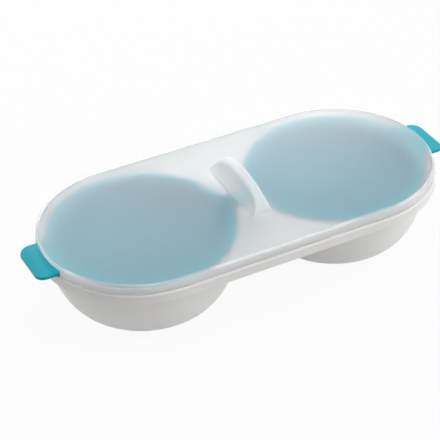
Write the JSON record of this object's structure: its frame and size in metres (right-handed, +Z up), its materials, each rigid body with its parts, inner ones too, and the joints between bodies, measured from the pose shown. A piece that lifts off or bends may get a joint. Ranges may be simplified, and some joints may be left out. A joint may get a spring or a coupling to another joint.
{
  "type": "microwave egg poacher",
  "caption": "Oblong microwave egg poacher: white base with round water bowls, a lift-out teal drain insert with cups and end tabs, and a frosted lid with a half-moon pinch grip.",
  "frame": {"origin": "on the table, midway between the feet of the water bowls", "axes": "+X along the part through both cups, +Y across it along the lid's grip, +Z up"},
  "size_m": [0.2106, 0.0936, 0.0516],
  "materials": {
    "white_base": "satin moulded polypropylene",
    "teal_insert": "satin moulded polypropylene",
    "frosted_lid": "frosted translucent polypropylene"
  },
  "bodies": {
    "base": {"water_base": "white_base"},
    "insert": {"drain_insert": "teal_insert"},
    "cover": {"lid": "frosted_lid"}
  },
  "joints": [
    {"name": "insert_lift", "type": "slide", "parent": "base", "child": "insert", "axis": [0, 0, 1], "range_m": [0, 0.06]},
    {"name": "lid_lift", "type": "slide", "parent": "insert", "child": "cover", "axis": [0, 0, 1], "range_m": [0, 0.05]}
  ]
}
